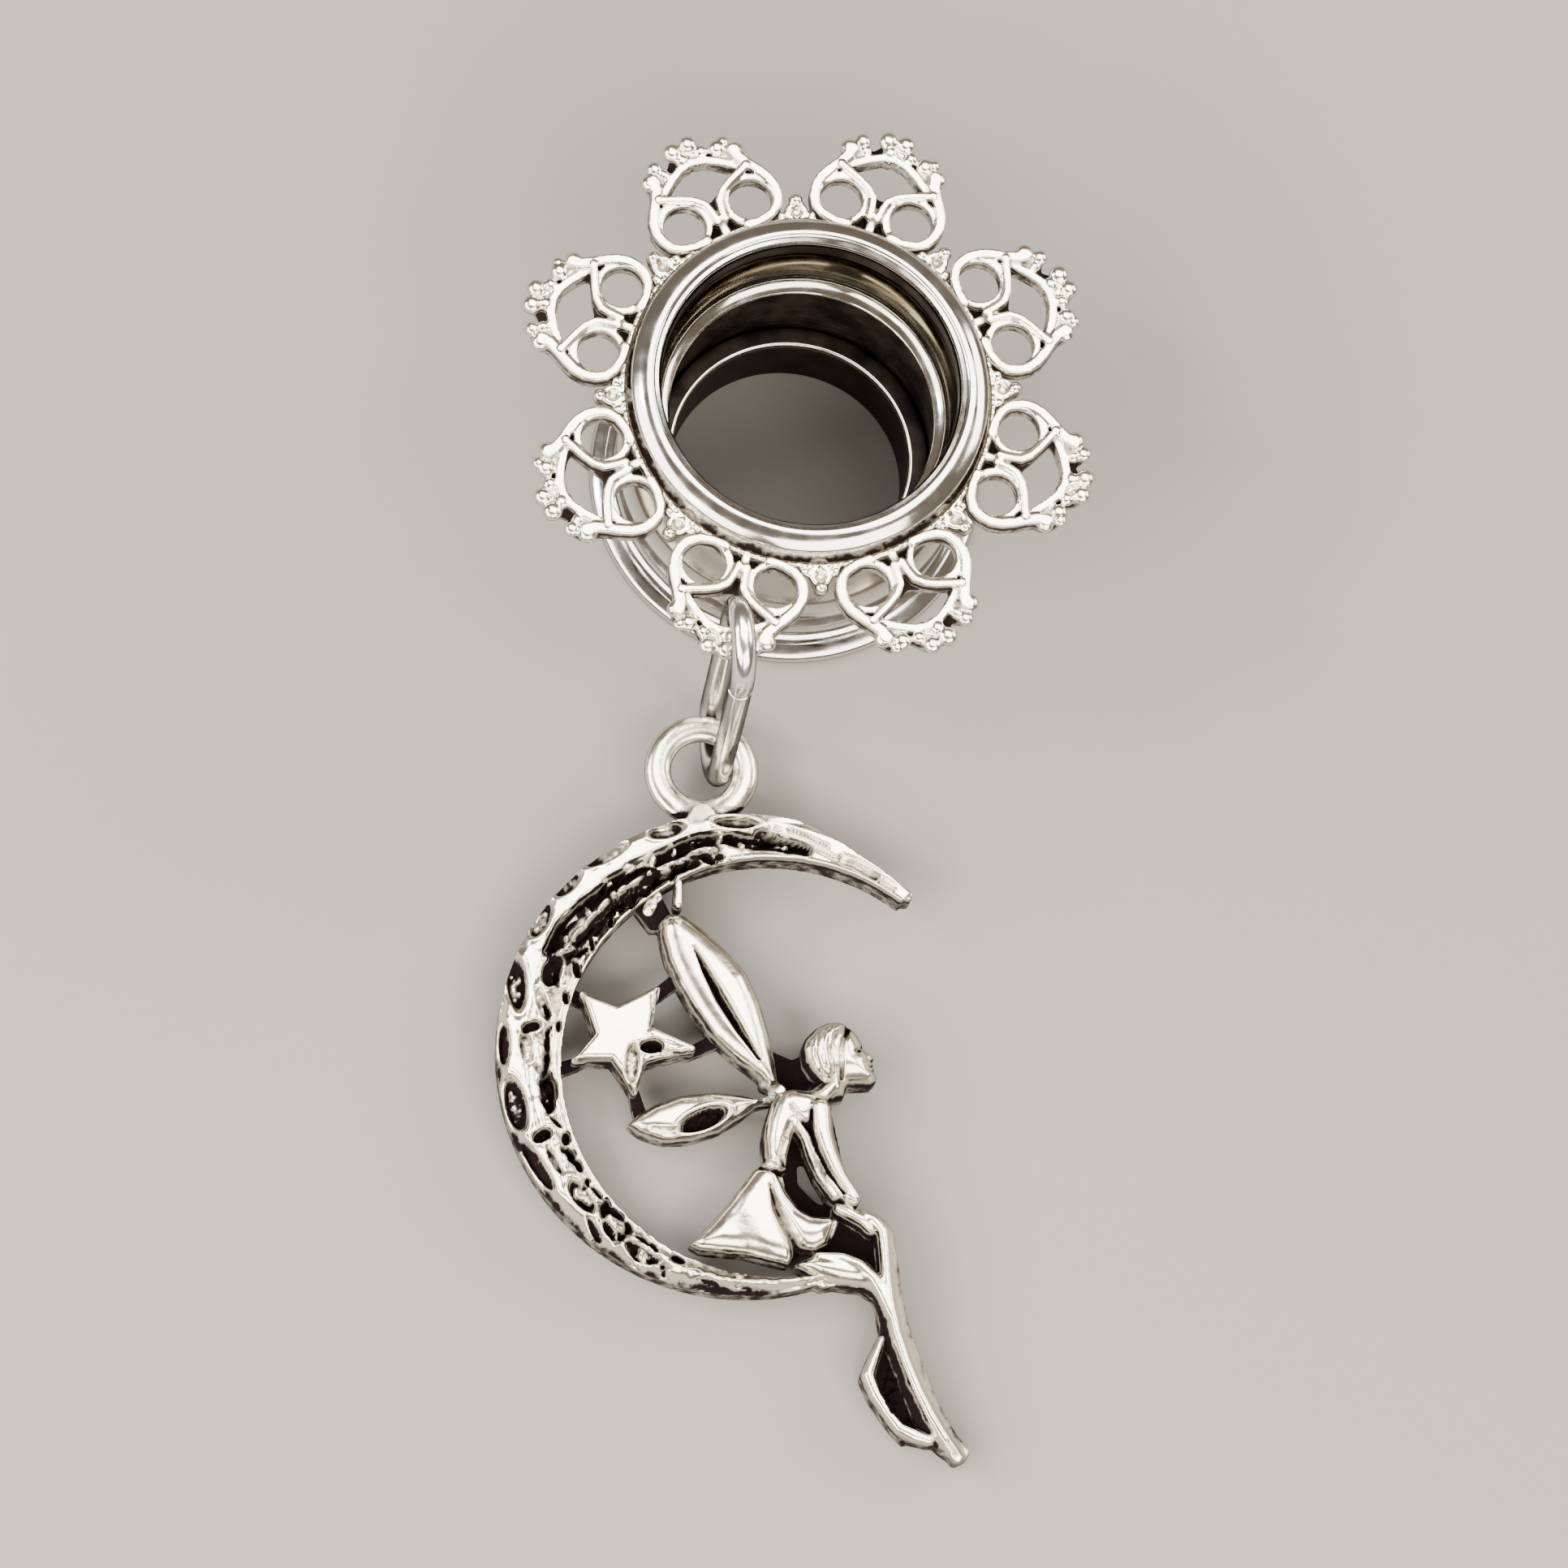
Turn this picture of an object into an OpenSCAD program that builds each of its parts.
// Double-flared ear tunnel with a cast flower collar, an oval jump ring and a moon charm.
// The tunnel stands on its back flare, and the charm lies on the same surface towards -Y.
// Z = 0 is that surface, and the origin is on the tunnel's axis.

/* [Tunnel] */
// Outer diameter of the barrel, where the earlobe sits
gauge_d = 16; // [15.8:0.1:16.2]
// Whole height of the tunnel, lip to base
tunnel_h = 13.2; // [12.8:0.1:13.6]
// Diameter of the rounded crest of the front lip
crest_d = 15.6; // [15.4:0.1:15.8]
// Outer diameter of the front flare
front_flare_d = 17.3; // [17.1:0.1:17.4]
// Outer diameter of the back flare
back_flare_d = 19.6; // [19:0.1:20]
// Inner diameter of the front lip
lip_bore_d = 14.4; // [14.2:0.1:14.5]
// Diameter of the ledge inside the front bore
ledge_d = 13.54; // [13.4:0.02:13.6]
// Height of that ledge
ledge_z = 8.25; // [8:0.05:8.5]
// Bore of the back piece, the narrowest way through
back_bore_d = 11.66; // [11.4:0.02:11.8]
// Height of the end of the back piece's collar
collar_z = 3.6; // [3.4:0.05:3.8]
// Height of the seam between front and back
seam_z = 1.7; // [1.6:0.05:1.9]

/* [Flower] */
// Number of petals
petals = 8; // [8:1:8]
// Height of the flower's back face
flower_z = 11.0; // [10.9:0.05:11.1]
// Thickness of the pierced plate
plate_t = 0.75; // [0.6:0.05:0.9]
// Height of the ridges above the back face
ridge_t = 1.15; // [1:0.05:1.2]
// Distance from the axis to the middle of each eyelet, along the petal
eyelet_r = 10.15; // [10:0.05:10.2]
// Half the distance between the two eyelets of a petal
eyelet_v = 1.72; // [1.7:0.01:1.75]
// Radius of the hole in an eyelet
eyelet_hole = 0.85; // [0.75:0.05:0.95]
// Outer radius of the raised ring round an eyelet
eyelet_ring = 1.2; // [1.16:0.02:1.24]
// Inner and outer radius of the band that runs round each eyelet
band_in = 1.36; // [1.32:0.02:1.4]
// Outer radius of that band
band_out = 1.68; // [1.66:0.01:1.7]
// Radius of the small balls on the petal tips
ball_r = 0.46; // [0.4:0.02:0.5]

/* [Jump ring] */
// Wire diameter
wire_d = 1.17; // [1.1:0.01:1.18]
// Radius of the wire's centreline at each round end
ring_end_r = 1.9; // [1.88:0.01:1.92]
// Length of the straight sides
ring_side = 9.63; // [9.6:0.01:9.66]

/* [Charm] */
// Radius of the moon's outer edge
moon_r = 11.9; // [11.8:0.05:12]
// Radius of the moon's inner edge
moon_in_r = 10.25; // [10.15:0.05:10.3]
// Thickness of the moon at its rim
moon_t = 2.0; // [1.8:0.05:2.1]
// Thickness of the floor of the moon's groove
moon_floor = 1.15; // [1:0.05:1.3]
// Outer radius of the hanging loop
loop_out = 2.8; // [2.7:0.05:2.85]
// Radius of the hole in the hanging loop
loop_hole = 1.5; // [1.45:0.05:1.55]
// Thickness of the hanging loop
loop_t = 1.3; // [1.2:0.05:1.4]
// Radius of the star's points
star_r = 3.1; // [3:0.05:3.2]
// Thickness of the star
star_t = 2.1; // [1.9:0.05:2.2]
// How far the loop end of the charm is lifted by the wire under it, in degrees
charm_tilt = 2.1; // [2:0.05:2.2]

/* [Hidden] */
gap = 0.05;
step = 360 / petals;
round_fn = 96;
silver = [0.80, 0.79, 0.76];
steel = [0.62, 0.61, 0.60];
antique = [0.55, 0.53, 0.50];

barrel_r = gauge_d / 2;
crest_r = crest_d / 2;
front_flare_r = front_flare_d / 2;
back_flare_r = back_flare_d / 2;
thread_r = 6.95;
collar_r = thread_r - 0.1;

// Front piece: heights down from the crest
flare_edge_z = tunnel_h - 0.35;
flare_under_z = tunnel_h - 0.75;
neck_z = tunnel_h - 1.35;
lip_depth = 0.35;
slope_top_z = ledge_z + 2.0;
barrel_foot_r = barrel_r + 0.42;

// Flower
ring_in_r = barrel_r + gap;
ring_out_r = 9.15;
ring_rim_in = 8.78;
ring_floor_t = 0.4;
bud_r = 0.36;

// Jump ring: middle of the oval, and how it leans between the petal and the charm's loop
ring_at = [-4.311, -13.678, 7.295];
ring_turn = [-1.41, -6.72, -88.58];

// Charm, in its own plane: x across, y up from the toes
toe_y = -50.6;
moon_at = [-4.0, 20.5];
moon_in_at = [-2.5, 19.7];
horn_up = 40;
horn_low = 289;
loop_at = [-5.2, 34.8];
star_at = [-9.5, 21.2];
star_turn = 131;
limb_fn = 14;
below = 0.3;

function arc(c, r, a0, a1, n) =
    [for (i = [0:n]) let (a = a0 + (a1 - a0) * i / n) [c[0] + r * cos(a), c[1] + r * sin(a)]];
function mirrored(p) = concat(p, [for (i = [len(p) - 1:-1:0]) [p[i][0], -p[i][1]]]);

// Front flare, lip and barrel, one turned piece with a thread inside its lower end
module tunnel_front() {
    lip_r = (crest_r - lip_bore_d / 2) / 2;
    edge_r = 0.2;
    outside = concat(
        [[thread_r, seam_z + gap], [barrel_foot_r, seam_z + gap]],
        arc([barrel_r + 1.9, seam_z + 2.1], 1.9, 222, 180, 5),
        [[barrel_r, neck_z - 0.4]],
        arc([barrel_r + 0.55, neck_z - 0.35], 0.55, 175, 100, 5),
        arc([front_flare_r - edge_r, flare_edge_z - edge_r], edge_r, -60, 60, 5)
    );
    inside = concat(
        arc([crest_r - lip_r, tunnel_h - lip_r], lip_r, 70, 180, 7),
        [[lip_bore_d / 2, slope_top_z]],
        arc([ledge_d / 2 - 1.5, ledge_z + 1.7], 2.05, -6, -46, 5),
        [[ledge_d / 2, ledge_z], [thread_r, ledge_z - 0.25]]
    );
    color(steel) rotate_extrude($fn = round_fn) polygon(concat(outside, inside));
}

// Back flare with the collar that goes up inside the barrel, one turned piece
module tunnel_back() {
    bore_r = back_bore_d / 2;
    rim_r = 0.42;
    profile = concat(
        [[bore_r, 0], [back_flare_r - rim_r, 0]],
        arc([back_flare_r - rim_r, rim_r], rim_r, -75, 70, 6),
        [[9.0, 1.0]],
        arc([barrel_foot_r + 0.75, seam_z + 0.1], 0.78, 262, 190, 4),
        [[barrel_foot_r, seam_z], [collar_r, seam_z], [collar_r, collar_z - 0.2],
         [collar_r - 0.2, collar_z],
         [bore_r + 0.15, collar_z], [bore_r, collar_z - 0.15]]
    );
    color(steel) rotate_extrude($fn = round_fn) polygon(profile);
}

// Outline of one petal: two round cells, the tip beyond them, and the foot between them
module petal_outline() {
    half = [[8.9, 1.2], [10.5, 0.9], [10.7, 3.22], [11.3, 2.95], [12.2, 2.45], [12.75, 2.6], [13.1, 2.75],
            [13.45, 2.3], [13.5, 1.7], [13.3, 1.15], [13.75, 0.85], [14.1, 0.6], [14.2, 0.25]];
    polygon(mirrored(half));
    cells() circle(r = band_out, $fn = 60);
}

// Whatever is given, at the middle of both cells
module cells() {
    for (s = [-1, 1]) translate([eyelet_r, s * eyelet_v]) children();
}

// Openings right through a petal: the two eyelets and the window between them and the tip
module petal_openings() {
    half = [[10.85, 0.1], [11.2, 1.8], [11.75, 1.85], [12.05, 1.65], [12.55, 0.9], [12.95, 0.25]];
    cells() circle(r = eyelet_hole, $fn = 40);
    difference() {
        polygon(mirrored(half));
        cells() circle(r = band_out - 0.02, $fn = 60);
    }
}

// Grooves sunk to the plate: one round each eyelet, and a slit at the foot
module petal_grooves() {
    cells() difference() {
        circle(r = band_in, $fn = 60);
        circle(r = eyelet_ring, $fn = 60);
    }
    polygon([[9.75, 0.3], [10.15, 0.12], [10.5, 0.3], [10.5, -0.3], [10.15, -0.12], [9.75, -0.3]]);
}

// Petal lying along +X, from the base ring to the balls on its tip
module petal() {
    difference() {
        linear_extrude(ridge_t) petal_outline();
        translate([0, 0, -1]) linear_extrude(ridge_t + 2) petal_openings();
        translate([0, 0, plate_t]) linear_extrude(ridge_t) petal_grooves();
    }
    for (s = [-1, 1], at = [[13.98, 0.5], [13.38, 1.8], [12.9, 2.6]])
        translate([at[0], s * at[1], ridge_t - 0.4]) sphere(r = ball_r, $fn = 20);
}

// Small bud on the base ring between two petals
module bud() {
    translate([8.9, -0.22, 0]) cube([1.1, 0.44, ridge_t - 0.2]);
    translate([10.05, 0, 0]) cylinder(r = bud_r, h = ridge_t - 0.05, $fn = 24);
    translate([9.4, 0, 0]) cylinder(r = bud_r + 0.02, h = ridge_t, $fn = 24);
}

// Cast collar: base ring round the barrel, petals and buds, one casting
module filigree_flower() {
    color(silver) translate([0, 0, flower_z]) difference() {
        union() {
            cylinder(r = ring_out_r, h = ridge_t - 0.15, $fn = round_fn);
            for (i = [0:petals - 1]) rotate([0, 0, (i + 0.5) * step]) petal();
            for (i = [0:petals - 1]) rotate([0, 0, i * step]) bud();
        }
        translate([0, 0, -1]) cylinder(r = ring_in_r, h = ridge_t + 2, $fn = round_fn);
        translate([0, 0, ring_floor_t]) cylinder(r = ring_rim_in, h = ridge_t, $fn = round_fn);
    }
}

// Oval ring of round wire: two half rings and two straight sides
module jump_ring() {
    wire_r = wire_d / 2;
    color(silver) translate(ring_at) rotate(ring_turn) union() {
        for (s = [-1, 1]) {
            translate([s * ring_end_r, 0, -ring_side / 2]) cylinder(r = wire_r, h = ring_side, $fn = 32);
            translate([0, 0, s * ring_side / 2]) rotate([s * 90, 0, 0])
                rotate_extrude(angle = 180, $fn = 64) translate([ring_end_r, 0])
                    circle(r = wire_r, $fn = 32);
        }
    }
}

// Rounded column from the charm's back up to height h, the unit that limbs are hulled from
module column(p) {
    translate([p[0], p[1], -below]) cylinder(r = p[3] * 0.92, h = 0.4 + below, $fn = limb_fn);
    translate([p[0], p[1], p[2] - p[3] * 0.7]) scale([1, 1, 0.7]) sphere(r = p[3], $fn = limb_fn);
}

// Limb or strut through a short list of [x, y, height, radius]
module limb(path) {
    for (i = [0:len(path) - 2]) hull() {
        column(path[i]);
        column(path[i + 1]);
    }
}

// Crescent between the moon's two circles, made thinner by the given amounts at its edges and tips
module crescent(out = 0, in = 0, tips = 0) {
    difference() {
        translate(moon_at) intersection() {
            circle(r = moon_r - out, $fn = 120);
            polygon(concat([[0, 0]], arc([0, 0], 14, horn_up + tips, horn_low - tips, 12)));
        }
        translate(moon_in_at) circle(r = moon_in_r + in, $fn = 120);
    }
}

// Moon: broad outer rim with oval pits, a groove, and a thin lower inner rim
module moon() {
    difference() {
        translate([0, 0, -below]) linear_extrude(moon_t + below) crescent();
        translate([0, 0, moon_floor]) linear_extrude(moon_t) crescent(1.35, 0.38, 9);
        translate([moon_in_at[0], moon_in_at[1], moon_t - 0.3])
            cylinder(r = moon_in_r + 0.5, h = 1, $fn = 90);
        for (a = [100:11.5:240])
            translate([moon_at[0] + 11.2 * cos(a), moon_at[1] + 11.2 * sin(a), moon_t + 0.05])
            rotate([0, 0, a]) scale([0.36, 0.85, 0.55]) sphere(r = 1, $fn = 12);
    }
    limb([[4.55, 27.75, 1.65, 0.5], [3.6, 28.75, 1.75, 0.5]]);
}

// Five-pointed star with a flat face and bevelled edges
module star() {
    points = [for (i = [0:9]) let (a = star_turn + 36 * i, r = i % 2 == 0 ? star_r : star_r * 0.5)
        [r * cos(a), r * sin(a)]];
    translate(star_at) {
        translate([0, 0, -below]) linear_extrude(star_t - 0.4 + below) polygon(points);
        translate([0, 0, star_t - 0.42]) linear_extrude(0.42, scale = 0.82) polygon(points * 0.995);
    }
}

// Almond pillow along +X from 0 to l, w wide and h high, blunt at the far end by the given amount
module almond(l, w, h, blunt) {
    n = 12;
    function half_w(t) = w / 2 * pow(sin(180 * pow(t, 1 - blunt)), 0.75);
    module slice(k, z) {
        side = [for (i = [0:n]) let (t = i / n) [l * t, max(half_w(t) - k, 0.12)]];
        translate([0, 0, z]) linear_extrude(0.05) polygon(mirrored(side));
    }
    hull() { slice(0, -below); slice(0, h * 0.55); slice(w * 0.14, h * 0.86); slice(w * 0.3, h - 0.05); }
}

// Two wings with a sunk channel in each, and the rod between them
module wings() {
    difference() {
        translate([-2.35, 18.7, 0]) rotate([0, 0, 119]) almond(9.9, 3.4, 2.3, 0.3);
        translate([-2.9, 19.5, 2.55]) rotate([0, 0, 117]) scale([3.4, 0.42, 0.55])
            translate([1, 0, 0]) sphere(r = 1, $fn = 16);
    }
    difference() {
        translate([-2.9, 18.2, 0]) rotate([0, 0, 187]) almond(6.9, 2.5, 2.1, 0.1);
        translate([-4.9, 17.2, 2.2]) rotate([0, 0, 20]) scale([1.25, 0.45, 0.6]) sphere(r = 1, $fn = 16);
    }
    limb([[-4.1, 19.4, 1.7, 0.25], [-2.5, 18.7, 1.6, 0.3]]);
}

// Low ties and webs that hold star, wings and head to each other
module ties() {
    limb([[-5.2, 32.9, 1.6, 0.75], [-5.0, 31.6, 1.7, 1.1]]);
    limb([[-8.3, 29.2, 1.6, 0.6], [-7.7, 26.9, 1.7, 0.55]]);
    limb([[-6.7, 29.6, 1.6, 0.4], [-6.7, 27.2, 1.7, 0.4]]);
    limb([[-6.8, 20.8, 1.2, 0.3], [-5.0, 21.5, 1.2, 0.35]]);
    limb([[-8.2, 23.5, 1.2, 0.3], [-6.9, 24.0, 1.2, 0.35]]);
    limb([[-9.3, 18.8, 1.2, 0.35], [-9.0, 17.3, 1.2, 0.35]]);
    limb([[-12.0, 23.6, 1.2, 0.35], [-13.0, 24.0, 1.2, 0.35]]);
    limb([[-12.2, 20.0, 1.2, 0.35], [-13.2, 19.8, 1.2, 0.35]]);
    translate([0, 0, -below]) linear_extrude(0.9 + below)
        polygon([[-2.5, 21.4], [-1.5, 20.7], [-0.8, 21.3], [-0.4, 19.2], [-1.8, 18.2], [-2.6, 18.6]]);
}

// Head with a smooth cap of hair, neck, chest and the two arms that reach the knee
module upper_body() {
    hull() {
        translate([0.35, 19.75, -below]) cylinder(r = 1.45, h = 0.4 + below, $fn = 20);
        translate([0.35, 19.75, 1.65]) scale([1.55, 1.8, 1.15]) sphere(r = 1, $fn = 20);
        translate([1.2, 19.3, 1.3]) scale([1.0, 1.15, 0.9]) sphere(r = 1, $fn = 16);
    }
    translate([-0.15, 20.25, 1.9]) rotate([0, 0, -10]) scale([1.05, 1.5, 1.1]) sphere(r = 1, $fn = 20);
    limb([[-0.5, 18.9, 1.9, 0.5], [-1.2, 18.0, 2.2, 0.65]]);
    limb([[-1.3, 17.7, 2.5, 1.15], [-1.75, 16.6, 2.6, 1.2], [-2.6, 15.1, 2.2, 0.75]]);
    limb([[-0.3, 17.6, 2.1, 0.4], [-1.3, 17.4, 2.3, 0.6]]);
    limb([[-0.95, 17.0, 2.9, 0.5], [-0.85, 14.9, 2.8, 0.42], [0.25, 13.0, 2.6, 0.42],
          [1.0, 12.3, 2.5, 0.38]]);
    limb([[0.3, 12.5, 2.3, 0.35], [1.2, 11.6, 2.4, 0.4]]);
}

// Bell skirt: pillowed panel with three folds down to a scalloped hem
module skirt() {
    hem = [[-7.2, 11.0], [-7.0, 10.5], [-5.3, 10.25], [-3.7, 10.15], [-2.4, 9.8]];
    hull() {
        translate([0, 0, -below]) linear_extrude(1.7 + below)
            polygon(concat([[-3.6, 15.1], [-2.5, 14.7], [-2.2, 12.6]],
                           [for (i = [len(hem) - 1:-1:0]) hem[i]]));
        translate([-3.2, 14.2, 1.7]) sphere(r = 0.7, $fn = limb_fn);
        translate([-4.6, 11.7, 1.5]) scale([1.5, 0.8, 1]) sphere(r = 1.1, $fn = limb_fn);
    }
    limb([[-3.0, 14.8, 2.3, 0.45], [-2.9, 12.2, 2.6, 0.65], [-2.7, 10.5, 2.5, 0.6]]);
    limb([[-2.7, 14.2, 2.1, 0.35], [-1.5, 12.1, 2.3, 0.45], [-0.9, 11.2, 2.4, 0.55],
          [-0.8, 10.8, 2.2, 0.3]]);
    limb([[-1.2, 11.9, 2.2, 0.4], [-0.1, 11.7, 2.2, 0.35]]);
}

// Both legs, bent at the knee, and the two crossed feet
module legs() {
    limb([[-1.6, 9.8, 2.0, 0.7], [0.9, 9.3, 2.3, 0.75], [1.75, 8.6, 2.4, 0.65], [2.6, 6.0, 2.4, 0.62],
          [3.9, 2.7, 2.3, 0.55], [4.9, 0.75, 2.0, 0.45], [5.15, 0.35, 1.6, 0.3]]);
    limb([[0.4, 11.4, 1.6, 0.5], [1.9, 11.2, 2.3, 0.5], [2.35, 10.2, 2.3, 0.5], [2.75, 8.0, 2.2, 0.55],
          [3.3, 5.6, 2.1, 0.6], [4.2, 3.2, 1.9, 0.5], [5.3, 1.0, 1.4, 0.45]]);
    limb([[0.4, 11.4, 1.0, 0.5], [1.4, 10.0, 1.0, 0.8], [0.0, 10.2, 1.0, 0.6]]);
    limb([[1.95, 6.2, 1.7, 0.3], [0.95, 4.1, 1.7, 0.3], [2.7, 1.8, 1.6, 0.3]]);
    limb([[2.5, 5.4, 1.6, 0.3], [3.1, 2.3, 1.7, 0.35], [2.7, 1.6, 1.4, 0.3]]);
    translate([0, 0, -below]) linear_extrude(0.9 + below)
        polygon([[1.95, 6.2], [0.95, 4.1], [2.7, 1.8], [3.5, 2.2], [2.9, 5.0]]);
}

// Loop at the top of the charm, a ring with bevelled faces
module loop() {
    mid = (loop_out + loop_hole) / 2;
    bevel = 0.38;
    translate([loop_at[0], loop_at[1], 0.15]) rotate_extrude($fn = 40) polygon([
        [loop_hole, bevel], [loop_hole + bevel, 0], [loop_out - bevel, 0], [loop_out, bevel],
        [loop_out, loop_t - bevel], [mid + 0.3, loop_t], [mid - 0.3, loop_t],
        [loop_hole, loop_t - bevel]]);
}

// Whole charm, one casting with a flat back, its loop end lifted by the wire beneath
module moon_fairy_charm() {
    color(antique) translate([0, toe_y, 0]) rotate([charm_tilt, 0, 0]) difference() {
        union() {
            moon();
            loop();
            star();
            wings();
            ties();
            upper_body();
            skirt();
            legs();
        }
        translate([-20, -5, -1]) cube([40, 50, 1]);
    }
}

tunnel_back();
tunnel_front();
filigree_flower();
jump_ring();
moon_fairy_charm();
